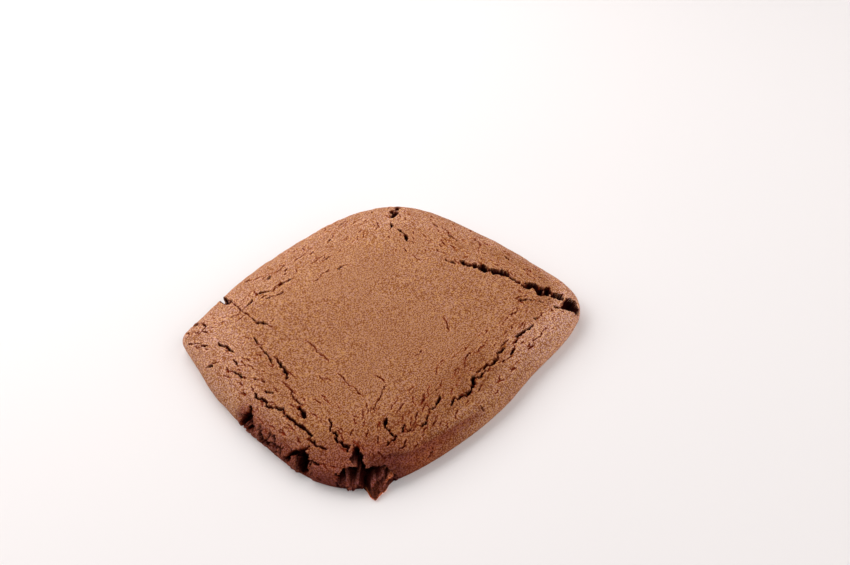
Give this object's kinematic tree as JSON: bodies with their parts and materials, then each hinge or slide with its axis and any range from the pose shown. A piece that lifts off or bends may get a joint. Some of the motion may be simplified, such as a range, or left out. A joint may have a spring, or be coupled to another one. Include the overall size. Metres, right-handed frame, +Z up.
{
  "type": "speculaas biscuit",
  "caption": "Rounded-square spiced biscuit, one baked slab with a rolled rim, cracked borders, a crumbled side and a torn corner.",
  "frame": {"origin": "centre of the box on the flat underside, where the biscuit rests", "axes": "+X along the longer pair of sides, +Y along the shorter pair, +Z up through the face"},
  "size_m": [0.1322, 0.1252, 0.0127],
  "materials": {
    "baked_dough": "matte, grainy brown baked crust"
  },
  "bodies": {
    "root": {"biscuit": "baked_dough"}
  },
  "joints": []
}
